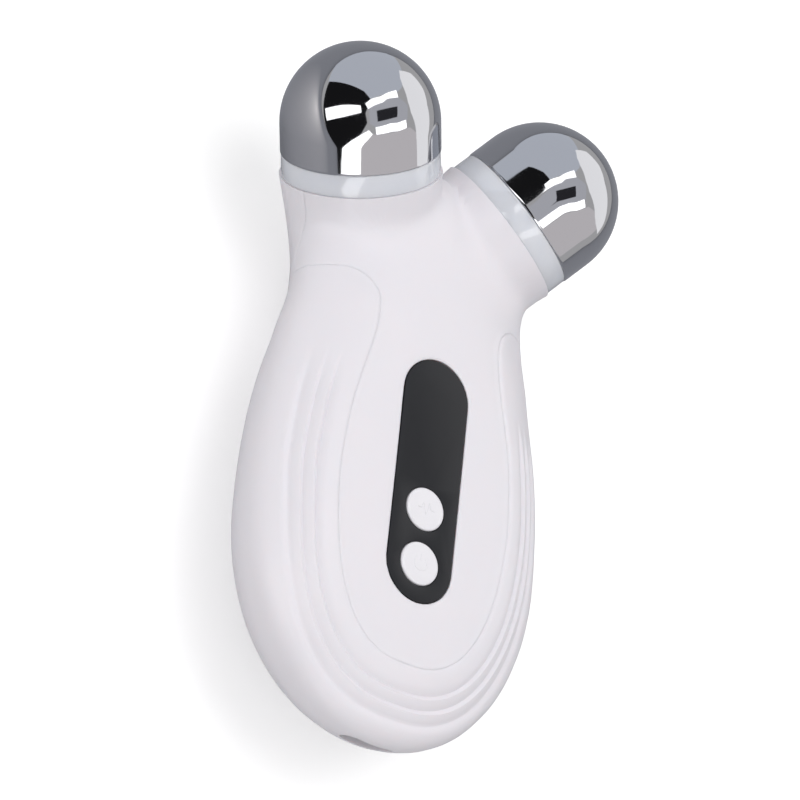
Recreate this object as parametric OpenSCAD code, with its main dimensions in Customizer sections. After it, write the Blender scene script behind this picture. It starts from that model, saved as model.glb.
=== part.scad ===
// Hand-held facial toning device: an egg-shaped body with two splayed necks,
// each carrying a chromed dome. It lies on its back, with its front face up:
// Z is height, Y runs from the charging port to the domes, X is across.

/* [Body] */
// Half width of the body at its middle
body_half_w = 24.9; // [24.5:0.1:27]
// Reach of the body from its middle to the port end
body_tail = 42.9; // [42:0.1:46]
// Reach of the body's egg from its middle towards the necks
body_nose = 37.5; // [36:0.1:39]
// Height of the front face above the rest face
front_z = 29.6; // [29:0.1:31]
// Height of the widest section at the body's middle
waist_z = 20; // [19:0.1:21]
// Fall of the widest section per millimetre towards the domes
waist_fall = 0.06; // [0.03:0.005:0.08]
// Depth of the back below the widest section
back_depth = 21.6; // [21.5:0.1:22.5]
// Fall of that depth per millimetre towards the domes
back_fall = 0.043; // [0.03:0.001:0.06]
// Squareness of the plan towards the port, 2 being an ellipse
tail_square = 2.5; // [2.2:0.05:2.8]
// Squareness of the plan towards the necks
nose_square = 2; // [1.9:0.05:2.2]
// Squareness of the front edge
front_square = 3.2; // [2.8:0.1:3.6]
// Squareness of the back
back_square = 1.9; // [1.8:0.05:2.1]
// Radius of the soft edge round the flat rest face
rest_edge = 1; // [0.5:0.5:1.5]
// Wall of both mouldings
wall = 2; // [1.6:0.1:2.2]

/* [Necks] */
// Place along the body where the two neck axes meet
head_y = 30; // [29:0.1:31]
// Height where the two neck axes meet
head_z = 7; // [6:0.1:8]
// Splay of each neck from the middle plane, in degrees
head_splay = 30; // [28:0.5:32]
// Lean of the necks up from the body's length, in degrees
head_lean = 40; // [38:0.5:42]
// Length of a neck from the meeting point to its rim
neck_len = 27; // [26:0.1:28]
// Radius of a neck at its root
neck_waist_r = 11; // [10.8:0.1:11.6]
// Radius of a neck at its rim
neck_rim_r = 13; // [12.9:0.1:13.6]
// Radius of the web that joins body and necks
body_blend = 14; // [12:0.5:16]
// Radius of the web between the two necks
crotch_blend = 7; // [5:0.5:8]
// Share of a neck's length where the webs start to die out
web_from = 0.55; // [0.35:0.05:0.8]
// Share of a neck's length where the webs have died out
web_to = 0.98; // [0.92:0.02:0.98]

/* [Front cover line] */
// Half width of the front cover
cover_half_w = 15.9; // [15.5:0.1:16.5]
// Reach of the front cover towards the port
cover_tail = 32.1; // [31:0.1:33]
// Half width of the cover where it meets the necks
cover_neck_w = 11.1; // [10:0.1:12]
// Place along the body where the cover line turns out round the necks
cover_turn_y = 29.2; // [28.5:0.1:30]
// Radius of that turn
cover_turn_r = 5.5; // [4.5:0.1:6]
// Slope of the parting face across the necks
part_slope = 0.414; // [0.38:0.01:0.45]
// Height by which the rear shell's grip stands proud of the cover
grip_proud = 0.35; // [0.2:0.05:0.5]
// Gap between the two mouldings
seam = 0.1; // [0.05:0.05:0.15]
// Width of the lip that the rear shell reaches under the cover
lip_w = 1.2; // [0.8:0.1:1.4]

/* [Grip grooves] */
// Number of grooves round the port end
groove_count = 3; // [1:1:3]
// Distance of the first groove outside the cover line
groove_first = 3.2; // [2.8:0.1:3.6]
// Spacing of the grooves
groove_pitch = 1.75; // [1.5:0.05:1.9]
// Depth of a groove
groove_depth = 0.45; // [0.3:0.05:0.5]
// Radius of a groove's floor
groove_r = 0.7; // [0.6:0.05:0.8]
// Place along the body where the grooves have died out
groove_end_y = 12; // [9:0.5:14]

/* [Heads] */
// Radius of the dome and its straight skirt
dome_r = 12.5; // [12.2:0.1:12.8]
// Height of the skirt under the dome
skirt_h = 4.5; // [3.5:0.1:5.5]
// Wall of the dome
dome_wall = 1.3; // [1:0.1:1.8]
// Radius of the collar between neck and dome
collar_r = 12.4; // [12:0.1:12.7]
// Height of the collar
collar_h = 3.6; // [3:0.1:4.2]
// Radius of the core's barrel, which the collar slides over
core_r = 8.9; // [8.5:0.1:9]
// Wall of the core's barrel
core_wall = 1.4; // [1.2:0.1:1.8]
// How far the core's foot flange stands out past its barrel
core_flange = 1.1; // [0.9:0.1:1.2]
// Thickness of the core's foot
core_foot_t = 1.5; // [1.2:0.1:2]
// Radius of the threaded post inside the dome
dome_post_r = 3; // [2.5:0.1:3.5]
// Radial play between parts that plug into each other
plug_gap = 0.1; // [0.05:0.05:0.15]

/* [Window and buttons] */
// Length of the dark window
window_len = 39.7; // [38:0.1:41]
// Width of the dark window
window_w = 11.9; // [11.7:0.1:12.5]
// Middle of the window along the body
window_y = -2.5; // [-3.5:0.1:-1.5]
// Thickness of the window
window_t = 1.2; // [1:0.1:1.4]
// Depth of the window's face below the crown of the front
window_drop = 0.2; // [0.1:0.05:0.3]
// Width of the ledge that the window is glued to
ledge_w = 1.35; // [1.2:0.05:1.4]
// Thickness of that ledge
ledge_t = 1.6; // [1.2:0.1:1.8]
// Thickness of the adhesive gasket
gasket_t = 0.2; // [0.15:0.05:0.3]
// Radius of a button
button_r = 3.4; // [3.2:0.05:3.6]
// Distance of the lower button's middle from the window's port end
button_inset = 6.15; // [6:0.05:6.4]
// Spacing of the two buttons
button_pitch = 8.9; // [8.8:0.1:9.1]
// Height of a button above the window
button_rise = 0.35; // [0.2:0.05:0.5]
// Travel of a button
button_travel = 0.3; // [0.2:0.05:0.4]
// Radial play of a button in the window
button_gap = 0.1; // [0.05:0.05:0.15]

/* [Electronics] */
// Height of the charging port's middle
port_z = 20; // [19.6:0.1:20.4]
// Depth of the socket's mouth inside the port end
port_recess = 1.3; // [1:0.1:1.6]
// Width of the charging socket
socket_w = 8.94; // [8.8:0.02:9.1]
// Height of the charging socket
socket_h = 3.2; // [3.1:0.02:3.3]
// Length of the charging socket
socket_len = 7.35; // [7:0.05:8]
// Half width of the circuit board and of the battery tray's rim
board_half_w = 12; // [11.8:0.1:12.2]
// Distance of the board's screws past the ends of the battery
post_clear = 4.5; // [4.4:0.1:5]
// Distance of those screws from the board's end
board_margin = 3; // [2.8:0.1:3.5]
// Distance of the chip and the coil from the board's screws at the port end
chip_clear = 6.3; // [6:0.1:7]
// Reach of the circuit board towards the port
board_tail = 38.6; // [38.2:0.1:39]
// Thickness of the circuit board
board_t = 1; // [0.8:0.1:1.2]
// Width of the battery
battery_w = 20; // [18:0.1:20.4]
// Length of the battery
battery_len = 38; // [34:0.5:38.5]
// Thickness of the battery
battery_t = 7.4; // [6:0.1:7.6]
// Middle of the battery along the body
battery_y = -2; // [-3:0.1:-1]
// Air between the battery and the board
battery_air = 0.8; // [0.6:0.1:1]
// Thickness of the foam pad under the battery
foam_t = 0.6; // [0.4:0.1:0.8]
// Wall of the battery tray
tray_wall = 1.2; // [1:0.1:1.4]
// Play between the battery and its tray
tray_gap = 0.3; // [0.2:0.05:0.4]
// Side of a switch body
switch_w = 6; // [5:0.1:6.2]
// Height of a switch body
switch_h = 3.5; // [3:0.1:4]
// Height of a switch plunger above the board
plunger_h = 5; // [4.6:0.1:5.5]
// Radius of a switch plunger
plunger_r = 1.7; // [1.4:0.1:2]
// Side of the control chip and width of the coil
chip_w = 7; // [6:0.1:7.5]
// Height of the coil
coil_h = 4.2; // [3:0.1:5]
// Radius of the wires
wire_r = 0.5; // [0.4:0.05:0.6]

/* [Screws] */
// Radius of the shank of every screw
screw_r = 1; // [0.9:0.05:1.1]
// Radius of the head of every screw
screw_head_r = 1.9; // [1.7:0.1:2.1]
// Height of the head of every screw
screw_head_h = 1.3; // [1:0.1:1.5]
// Radius of a screw post
post_r = 2.6; // [2.4:0.1:2.8]

/* [Hidden] */
$fn = 64;

// Finishes
shell_tint = [0.93, 0.89, 0.9];
chrome_tint = [0.78, 0.78, 0.8];
collar_tint = [0.74, 0.79, 0.86];
window_tint = [0.2, 0.21, 0.23];
pearl_tint = [0.94, 0.93, 0.92];
steel_tint = [0.66, 0.67, 0.69];
black_tint = [0.12, 0.12, 0.13];

// Heads: where the pieces lie along a neck's own axis
head_pivot = [0, head_y, head_z];
end_wall_h = neck_len - wall;
core_foot_h = end_wall_h - plug_gap;
collar_top_h = neck_len + collar_h;
dome_h = collar_top_h + skirt_h;
core_top_h = collar_top_h + skirt_h / 3;
post_foot_h = core_foot_h + plug_gap / 2;
terminal_t = 0.4;
terminal_r = 2.6;
terminal_reach = 5;
terminal_lap = 1;
terminal_w = 2;
lead_x = 4;
lead_inset = 2.5;
lead_rise = 6;
lead_run = 7;
pair_x = 2.5;
pair_run = 2.5;
notch_run = 3.8;
guide_w = 3.2;
guide_leg = 1;
guide_foot_h = 1.6;
guide_gap = 0.3;
terminal_h = core_foot_h - core_foot_t - terminal_t;
electrode_screw_len = 6;

// Heights of the stack behind the window
window_z = front_z - window_drop;
window_back = window_z - window_t;
ledge_z = window_back - gasket_t;
plinth_z = ledge_z - ledge_t;
window_in = window_w - 2 * ledge_w;
flange_r = window_in / 2 - 0.4;
flange_t = 0.7;
flange_z = window_back - 0.3;
button_low_y = window_y - window_len / 2 + button_inset;
button_ys = [button_low_y + button_pitch, button_low_y];
stem_r = 1.25;

// Heights of the stack under the board
board_z = port_z - socket_h / 2;
board_back = board_z - board_t;
plunger_z = board_z + plunger_h;
switch_top = board_z + switch_h;
rim_t = 1.2;
rim_back = board_back - rim_t;
battery_top = board_back - battery_air;
battery_z = battery_top - battery_t;
foam_z = battery_z - foam_t;
tray_z = foam_z - tray_wall;
screw_x = 8;
screw_y = [for (s = [1, -1]) battery_y + s * (battery_len / 2 + post_clear)];
board_top_y = screw_y[0] + board_margin;
screw_len = 7;
socket_y = port_recess - body_tail;

// Light guide and lamps, between the upper button and the end of the window
lamp_count = 3;
lamp_pitch = 4;
lamp_y = (button_ys[0] + button_r + window_y + window_len / 2) / 2;

// Hooks that hold the cover to the tray's rim
hook_ys = [-13, 0];
hook_t = 1.2;
hook_w = 4;
hook_gap = 0.3;
hook_bite = 0.8;

// The skin is found along rays from a point that sees all of it
eye = [0, head_y - 4, head_z + 3];
rest_z = 0;
overrun = 12;
lip_inset = wall / 2 + 0.1;
lip_trim = wall + core_foot_t + 1;
zone_drop = 7;
zone_z = waist_z - zone_drop;
fine = [88, 32];
plain = [32, 14];
SIDES = [-1, 1];

function head_axis(side) =
    [side * sin(head_splay), cos(head_splay) * cos(head_lean), cos(head_splay) * sin(head_lean)];
function ease(t) = let (c = min(max(t, 0), 1)) c * c * (3 - 2 * c);
function unit(v) = v / norm(v);

// A minimum whose corner is rounded over the width k
function soft_min(a, b, k) = let (h = max(k - abs(a - b), 0) / k) min(a, b) - h * h * k / 4;

// Distance of a point outside the egg-shaped body, negative inside
function egg(p) =
    let (
        mid = waist_z - waist_fall * p.y,
        up = p.z > mid,
        b = p.y < 0 ? body_tail : body_nose,
        n = p.y < 0 ? tail_square : nose_square,
        c = up ? front_z - mid : back_depth - back_fall * p.y,
        m = up ? front_square : back_square,
        t = pow(pow(abs(p.x) / body_half_w, n) + pow(abs(p.y) / b, n), 1 / n),
        g = pow(pow(t, m) + pow(abs(p.z - mid) / c, m), 1 / m)
    )
    norm([p.x, p.y, p.z - mid]) * (1 - 1 / max(g, 0.001));

// Distance of a point outside one neck, which widens towards its rim and is
// drawn too long, to be cut square there
function neck(p, side) =
    let (
        q = p - head_pivot,
        h = q * head_axis(side),
        run = min(max(h / neck_len, 0), 1),
        r = neck_waist_r + (neck_rim_r - neck_waist_r) * run * run
    )
    h < 0 ? norm(q) - neck_waist_r : max(norm(q - h * head_axis(side)) - r, h - neck_len - overrun);

// Distance of a point outside the whole blended form; the webs die out at the
// rims, and the back is planed off level with a soft edge
function skin(p) =
    let (
        h = max([for (s = SIDES) (p - head_pivot) * head_axis(s)]),
        web = 1 - ease((h / neck_len - web_from) / (web_to - web_from)),
        necks = soft_min(neck(p, -1), neck(p, 1), max(crotch_blend * web, 0.01)),
        whole = soft_min(egg(p), necks, max(body_blend * web, 0.01))
    )
    -soft_min(-whole, p.z - rest_z + 0.05, rest_edge);

// The grip stands proud round the body and runs out on the necks
function proud_at(p, proud) = proud * (1 - ease((p.y - cover_turn_y + 1) / 7));

// Where a ray from `from` meets the skin sunk by `inset` and raised by `proud`
function ray(from, dir, inset, proud, near = 0, far = 100, left = 12) =
    let (
        mid = (near + far) / 2,
        p = from + mid * dir,
        inside = skin(p) + inset - proud_at(p, proud) < 0
    )
    left == 0 ? mid
    : ray(from, dir, inset, proud, inside ? mid : near, inside ? far : mid, left - 1);

// Bearing of one step round the form, closer together at the port and the necks
function bearing(t) = 180 * t - 11.5 * sin(360 * t);

// Points of one meridian, from the back to the front
function meridian(turn, rows, inset, proud) =
    let (
        out = [sin(turn), -cos(turn), 0],
        reach = ray([eye.x, eye.y, waist_z], out, inset, proud)
    )
    [
        for (j = [1:rows - 1])
            let (
                v = 180 * j / rows - 90,
                rise = v > 0 ? pow(sin(v), 0.75) * (front_z - waist_z) : sin(v) * back_depth,
                dir = unit(out * reach * pow(cos(v), 0.8) + [0, 0, waist_z - eye.z + rise])
            )
            eye + dir * ray(eye, dir, inset, proud)
    ];

// The whole blended form as one closed skin, `inset` below its outside, with
// its necks cut square at their rims or `trim` short of them
module form(inset = 0, proud = 0, grid = plain, trim = 0) {
    around = grid[0];
    rows = grid[1] - 1;
    half = [for (i = [0:around / 2]) meridian(bearing(2 * i / around), grid[1], inset, proud)];
    rings = [
        for (i = [0:around - 1]) each i <= around / 2 ? half[i]
            : [for (p = half[around - i]) [-p.x, p.y, p.z]]
    ];
    poles = [for (s = SIDES) eye + [0, 0, s * ray(eye, [0, 0, s], inset, proud)]];
    n = around * rows;
    difference() {
        polyhedron(concat(rings, poles), [
            for (i = [0:around - 1])
                let (a = i * rows, b = (i + 1) % around * rows)
                each concat(
                    [[b, n, a], [a + rows - 1, n + 1, b + rows - 1]],
                    [for (j = [0:rows - 2]) each halves(rings, a + j, b + j, b + j + 1, a + j + 1)]
                )
        ]);
        for (s = SIDES) at_head(s) translate([0, 0, neck_len - inset - trim])
            cylinder(r = neck_rim_r + 3, h = 2 * overrun, $fn = 24);
    }
}

// The two triangles of a four-sided patch, split along its shorter diagonal
function halves(p, a, b, c, d) =
    norm(p[a] - p[c]) < norm(p[b] - p[d]) ? [[a, c, b], [a, d, c]] : [[a, d, b], [b, d, c]];

module above(z) {
    translate([-100, -100, z]) cube([200, 200, 100]);
}

// The hollow inside the wall, with a flat floor over the rest face
module hollow() {
    intersection() {
        form(inset = wall);
        above(rest_z + wall);
    }
}

module at_head(side) {
    translate(head_pivot) rotate([head_lean - 90, 0, 0]) rotate([0, side * head_splay, 0]) children();
}

// Half of the cover's line, from the port end to where it runs out past the necks
function cover_point(t) =
    t < 0.5 ? let (a = 180 * t) [
        cover_half_w * pow(sin(a), 2 / tail_square), -cover_tail * pow(cos(a), 2 / tail_square)
    ]
    : let (u = 2 * t - 1, w = 1 - u, end = cover_turn_y - cover_turn_r) [
        cover_half_w * (w * w * w + 3 * w * w * u) + cover_neck_w * (3 * w * u * u + u * u * u),
        end * (0.75 * 3 * w * w * u * 0.6 + 3 * w * u * u * 0.6 + u * u * u)
    ];

module cover_outline() {
    line = [for (i = [0:24]) cover_point(i / 24)];
    turn = [for (a = [75:-15:0]) [
        cover_neck_w + cover_turn_r * (1 - sin(a)), cover_turn_y - cover_turn_r * (1 - cos(a))
    ]];
    right = concat(line, turn, [[45, cover_turn_y], [45, 75]]);
    polygon(concat(right, [for (i = [len(right) - 1:-1:1]) [-right[i].x, right[i].y]]));
}

// Everything in front of the parting face, drawn in by `inset`
module cover_zone(inset = 0) {
    axis = head_axis(1);
    slope_y = (axis.z - part_slope * axis.x) / axis.y;
    lift = inset * norm([1, slope_y, part_slope]);
    intersection() {
        translate([0, 0, zone_z + inset]) linear_extrude(60) offset(delta = -inset) cover_outline();
        intersection_for(s = SIDES) multmatrix([
            [1, 0, 0, 0], [0, 1, 0, head_y], [s * part_slope, slope_y, 1, head_z + lift], [0, 0, 0, 1]
        ]) translate([-60, -90, 0]) cube([120, 150, 90]);
    }
}

// One groove round the port end, a bead swept along the grip's skin
module groove(k) {
    step = groove_first + k * groove_pitch;
    half = [for (i = [0:20]) cover_point(0.84 * i / 20)];
    across = [for (i = [1:19]) unit([half[i + 1].y - half[i - 1].y, half[i - 1].x - half[i + 1].x])];
    right = concat(
        [[0, half[0].y - 1.15 * step]],
        [for (i = [1:19]) half[i] + step * [across[i - 1].x, 1.15 * across[i - 1].y]]
    );
    plan = concat([for (i = [19:-1:1]) [-right[i].x, right[i].y]], right);
    line = [for (q = plan) [q.x, q.y, waist_z + ray([q.x, q.y, waist_z], [0, 0, 1], 0, grip_proud, 0, 16)]];
    rings = [
        for (i = [1:len(line) - 2])
            let (
                p = line[i],
                along = unit(line[i + 1] - line[i - 1]),
                out = unit([
                    skin(p + [0.1, 0, 0]) - skin(p - [0.1, 0, 0]),
                    skin(p + [0, 0.1, 0]) - skin(p - [0, 0.1, 0]),
                    skin(p + [0, 0, 0.1]) - skin(p - [0, 0, 0.1])
                ]),
                depth = groove_depth * (1 - ease((p.y - groove_end_y + 8) / 8) * 1.3),
                aside = cross(along, out)
            )
            each [for (a = [0:60:300]) p + (groove_r - depth + groove_r * sin(a)) * out + groove_r * cos(a) * aside]
    ];
    tube(rings, 6);
}

// A closed tube through rings of `sides` points each
module tube(points, sides) {
    last = len(points) / sides - 1;
    polyhedron(points, concat(
        [[for (a = [sides - 1:-1:0]) a], [for (a = [0:sides - 1]) last * sides + a]],
        [
            for (i = [0:last - 1], a = [0:sides - 1])
                let (b = (a + 1) % sides)
                each [
                    [i * sides + a, i * sides + b, (i + 1) * sides + b],
                    [i * sides + a, (i + 1) * sides + b, (i + 1) * sides + a]
                ]
        ]
    ));
}

// A slot shape with round ends, along Y
module stadium(len, w) {
    square([w, len - w], center = true);
    for (s = SIDES) translate([0, s * (len - w) / 2]) circle(d = w);
}

module at_window(z) {
    translate([0, window_y, z]) children();
}

module at_corners() {
    for (s = SIDES, y = screw_y) translate([s * screw_x, y, 0]) children();
}

// Seats turned out of both mouldings round each core
module core_seats() {
    for (s = SIDES) at_head(s) {
        translate([0, 0, core_foot_h - core_foot_t]) cylinder(r = core_r + plug_gap, h = neck_len, $fn = 48);
        translate([0, 0, core_foot_h - core_foot_t - 2])
            cylinder(r = core_r + core_flange + 2 * plug_gap, h = end_wall_h - core_foot_h + core_foot_t + 2, $fn = 48);
    }
}

// A hook on the cover that snaps under the rim of the battery tray
module hook(side, y) {
    x = board_half_w + hook_gap;
    bite_z = rim_back - 0.1;
    translate([0, y, 0]) {
        hull() {
            translate([side * (x + hook_t / 2) - hook_t / 2, -hook_w / 2, bite_z - 1])
                cube([hook_t, hook_w, 1]);
            translate([side * (x + hook_t / 2) - hook_t / 2, -hook_w / 2 - 0.8, plinth_z])
                cube([hook_t, hook_w + 1.6, wall]);
        }
        hull() {
            translate([side * (x + hook_t / 2) - hook_t / 2, -hook_w / 2, bite_z - 2])
                cube([hook_t, hook_w, 2]);
            translate([side * (x + hook_t / 2 - hook_bite) - hook_t / 2, -hook_w / 2, bite_z - 0.4])
                cube([hook_t, hook_w, 0.4]);
        }
    }
}

module front_cover() {
    color(shell_tint) difference() {
        union() {
            difference() {
                intersection() {
                    form(grid = fine);
                    cover_zone(seam);
                }
                hollow();
                // Rebate for the rear shell's lip
                difference() {
                    form(inset = lip_inset - seam, trim = lip_trim - seam);
                    cover_zone(lip_w + 2 * seam);
                }
            }
            intersection() {
                form(inset = wall / 4);
                at_window(plinth_z) linear_extrude(wall + ledge_t) stadium(window_len + 3, window_w + 3);
            }
            intersection() {
                form(inset = wall / 2);
                for (s = SIDES, y = hook_ys) hook(s, y);
            }
        }
        at_window(ledge_z) linear_extrude(wall + 2) stadium(window_len + 2 * plug_gap, window_w + 2 * plug_gap);
        at_window(plinth_z - 1) linear_extrude(ledge_t + 2) stadium(window_len - 2 * ledge_w, window_in);
        core_seats();
    }
}

// A post that carries the battery tray, with two webs down to the shell
module post(side, y) {
    translate([side * screw_x, y, 0]) {
        translate([0, 0, rest_z + wall / 2]) cylinder(r = post_r, h = rim_back - rest_z - wall / 2, $fn = 16);
        for (a = [0, 180]) rotate(a) hull() {
            translate([0, -0.6, rest_z + wall / 2]) cube([post_r + 4, 1.2, 1]);
            translate([0, -0.6, rim_back - 3]) cube([post_r, 1.2, 1]);
        }
    }
}

module rear_shell() {
    color(shell_tint) difference() {
        union() {
            difference() {
                intersection() {
                    form(proud = grip_proud, grid = fine);
                    above(rest_z);
                }
                hollow();
                cover_zone();
                for (k = [0:groove_count - 1]) groove(k);
            }
            // Lip under the edge of the cover
            difference() {
                intersection() {
                    form(inset = lip_inset, trim = lip_trim);
                    above(rest_z + wall / 2);
                }
                hollow();
                cover_zone(lip_w);
            }
            intersection() {
                form(inset = wall / 2);
                for (s = SIDES, y = screw_y) post(s, y);
            }
        }
        core_seats();
        at_corners() translate([0, 0, board_z - screw_len - 0.5])
            cylinder(r = screw_r + 0.05, h = screw_len, $fn = 12);
        translate([0, -body_tail, port_z]) rotate([90, 0, 0])
            linear_extrude(12, center = true) rotate(90)
                stadium(socket_w + 4 * plug_gap, socket_h + 4 * plug_gap);
    }
}

module display_window() {
    color(window_tint) difference() {
        at_window(window_back) linear_extrude(window_t) stadium(window_len, window_w);
        for (y = button_ys) translate([0, y, window_back - 1])
            cylinder(r = button_r + button_gap, h = window_t + 2);
    }
}

module window_gasket() {
    color(black_tint) at_window(ledge_z) linear_extrude(gasket_t) difference() {
        stadium(window_len - 0.4, window_w - 0.4);
        stadium(window_len - 2 * ledge_w, window_in);
    }
}

// A button: a crowned cap, a flange behind the window and a stem
module button(y) {
    crown = 0.3;
    color(pearl_tint) translate([0, y, 0]) rotate_extrude() polygon(concat(
        [[0, plunger_z], [stem_r, plunger_z], [stem_r, flange_z - flange_t], [flange_r, flange_z - flange_t]],
        [[flange_r, flange_z], [button_r, flange_z]],
        [for (a = [0:15:90]) [
            button_r - crown * (1 - cos(a)), window_z + button_rise - crown * (1 - sin(a))
        ]],
        [[0, window_z + button_rise]]
    ));
}

module plunger(y) {
    color(black_tint) translate([0, y, switch_top - 2]) cylinder(r = plunger_r, h = plunger_z - switch_top + 2);
}

// A tactile switch with a steel top plate
module tact_switch(y) {
    color(steel_tint) translate([0, y, board_z]) difference() {
        translate([-switch_w / 2, -switch_w / 2, 0]) cube([switch_w, switch_w, switch_h]);
        translate([0, 0, switch_h - 2 - 2 * button_travel]) cylinder(r = plunger_r + plug_gap, h = 4);
    }
}

module light_guide() {
    len = lamp_count * lamp_pitch;
    color([0.9, 0.92, 0.95]) translate([0, lamp_y, board_z]) {
        translate([-guide_w / 2, -len / 2, guide_foot_h])
            cube([guide_w, len, window_back - guide_gap - board_z - guide_foot_h]);
        for (s = SIDES) translate([-guide_w / 2, s * (len - guide_leg) / 2 - guide_leg / 2, 0])
            cube([guide_w, guide_leg, guide_foot_h]);
    }
}

module indicator_leds() {
    color([0.95, 0.95, 0.8]) for (i = [0:lamp_count - 1])
        translate([-0.8, lamp_y + (i - (lamp_count - 1) / 2) * (lamp_pitch - 1) - 0.8, board_z])
            cube([1.6, 1.6, 0.8]);
}

// The board's plan: square shoulders and a tongue that follows the port end
module board_plan() {
    round_r = 2;
    bend_y = 16.6 - board_tail;
    tongue = [for (a = [0:5:180]) [
        board_half_w * sign(cos(a)) * pow(abs(cos(a)), 2 / tail_square),
        bend_y - (board_tail + bend_y) * pow(sin(a), 2 / tail_square)
    ]];
    polygon(concat(
        [
            [-board_half_w, board_top_y - round_r], [round_r - board_half_w, board_top_y],
            [board_half_w - round_r, board_top_y], [board_half_w, board_top_y - round_r]
        ],
        tongue
    ));
}

module main_board() {
    color([0.12, 0.4, 0.25]) difference() {
        translate([0, 0, board_back]) linear_extrude(board_t) board_plan();
        at_corners() translate([0, 0, board_back - 1]) cylinder(r = screw_r + plug_gap, h = board_t + 2);
    }
}

// The chip and the coil lie either side of the power switch
module beside_switch(side) {
    translate([side * (switch_w / 2 + 1.2 + chip_w / 2), screw_y[1] + chip_clear, board_z]) children();
}

module control_chip() {
    color(black_tint) beside_switch(-1) translate([-chip_w / 2, -chip_w / 2, 0]) cube([chip_w, chip_w, 1]);
}

// The coil that raises the battery's voltage for the pulses
module boost_coil() {
    color([0.3, 0.27, 0.25]) beside_switch(1) {
        cylinder(d = chip_w, h = 0.8);
        cylinder(d = 0.65 * chip_w, h = coil_h);
        translate([0, 0, coil_h - 0.8]) cylinder(d = chip_w, h = 0.8);
    }
}

module usb_socket() {
    tongue = [6.6, 4.8, 0.7];
    color(steel_tint) translate([0, socket_y, port_z]) rotate([-90, 0, 0]) {
        difference() {
            linear_extrude(socket_len) rotate(90) stadium(socket_w, socket_h);
            translate([0, 0, -1]) linear_extrude(socket_len) rotate(90) stadium(socket_w - 0.6, socket_h - 0.6);
        }
        translate([-tongue.x / 2, -tongue.z / 2, 1]) cube([tongue.x, tongue.z, socket_len - 1.5]);
    }
}

module battery() {
    color([0.75, 0.76, 0.78]) translate([-battery_w / 2, battery_y - battery_len / 2, battery_z])
        cube([battery_w, battery_len, battery_t]);
}

module battery_foam() {
    color([0.3, 0.3, 0.32]) translate([1 - battery_w / 2, battery_y - battery_len / 2 + 1, foam_z])
        cube([battery_w - 2, battery_len - 2, foam_t]);
}

// A tray for the battery, whose rim carries the board on the posts
module battery_tray() {
    inner = [battery_w + 2 * tray_gap, battery_len + 2 * tray_gap];
    rim_y = [screw_y[1] - post_r, screw_y[0] + post_r];
    color([0.85, 0.85, 0.87]) difference() {
        union() {
            translate([-inner.x / 2 - tray_wall, battery_y - inner.y / 2 - tray_wall, tray_z])
                cube([inner.x + 2 * tray_wall, inner.y + 2 * tray_wall, board_back - tray_z]);
            translate([-board_half_w, rim_y[0], rim_back])
                cube([2 * board_half_w, rim_y[1] - rim_y[0], rim_t]);
        }
        translate([-inner.x / 2, battery_y - inner.y / 2, foam_z]) cube([inner.x, inner.y, 20]);
        at_corners() translate([0, 0, rim_back - 1]) cylinder(r = screw_r + plug_gap, h = rim_t + 2);
        // Notch for the battery's wires
        translate([-4, battery_y + battery_len / 2 - 1, battery_z]) cube([8, 6, 20]);
    }
}

// A screw hanging down from the origin, with a flat head above it
module screw(len) {
    translate([0, 0, -len]) cylinder(r = screw_r, h = len);
    difference() {
        cylinder(r = screw_head_r, h = screw_head_h);
        translate([0, 0, screw_head_h / 2]) cylinder(r = screw_head_r / 2, h = 5, $fn = 6);
    }
}

module board_screws() {
    color(steel_tint) at_corners() translate([0, 0, board_z]) screw(screw_len);
}

// A chromed dome with a straight skirt and a threaded post inside
module electrode(side) {
    inner_r = dome_r - dome_wall;
    color(chrome_tint) at_head(side) difference() {
        rotate_extrude() polygon(concat(
            [[0, post_foot_h], [dome_post_r, post_foot_h]],
            [[dome_post_r, dome_h + sqrt(inner_r * inner_r - dome_post_r * dome_post_r)]],
            [for (a = [80:-10:0]) if (inner_r * cos(a) > dome_post_r)
                [inner_r * cos(a), dome_h + inner_r * sin(a)]],
            [[inner_r, collar_top_h], [dome_r, collar_top_h]],
            [for (a = [0:5:90]) [dome_r * cos(a), dome_h + dome_r * sin(a)]]
        ));
        translate([0, 0, post_foot_h - 1])
            cylinder(r = screw_r + 0.05, h = electrode_screw_len);
    }
}

module collar(side) {
    color(collar_tint) at_head(side) translate([0, 0, neck_len]) difference() {
        cylinder(r = collar_r, h = collar_h);
        translate([0, 0, -1]) cylinder(r = core_r + plug_gap, h = collar_h + 2);
    }
}

// The core: a foot trapped between the mouldings and a barrel through the collar
module core(side) {
    color([0.85, 0.85, 0.87]) at_head(side) difference() {
        union() {
            translate([0, 0, core_foot_h - core_foot_t])
                cylinder(r = core_r + core_flange, h = core_foot_t);
            translate([0, 0, core_foot_h - core_foot_t])
                cylinder(r = core_r, h = core_top_h - core_foot_h + core_foot_t);
        }
        translate([0, 0, core_foot_h]) cylinder(r = core_r - core_wall, h = 30);
        translate([0, 0, 0]) cylinder(r = screw_r + plug_gap, h = 60);
    }
}

module electrode_screws() {
    color(steel_tint) for (s = SIDES) at_head(s)
        translate([0, 0, terminal_h]) rotate([180, 0, 0]) screw(electrode_screw_len);
}

// A solder tag under each electrode's screw
module contact_terminals() {
    color([0.8, 0.7, 0.45]) for (s = SIDES) at_head(s) translate([0, 0, terminal_h]) difference() {
        union() {
            cylinder(r = terminal_r, h = terminal_t);
            translate([-terminal_w / 2, -terminal_reach - terminal_lap, 0])
                cube([terminal_w, terminal_reach + terminal_lap, terminal_t]);
        }
        translate([0, 0, -1]) cylinder(r = screw_r + plug_gap, h = 3);
    }
}

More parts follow.
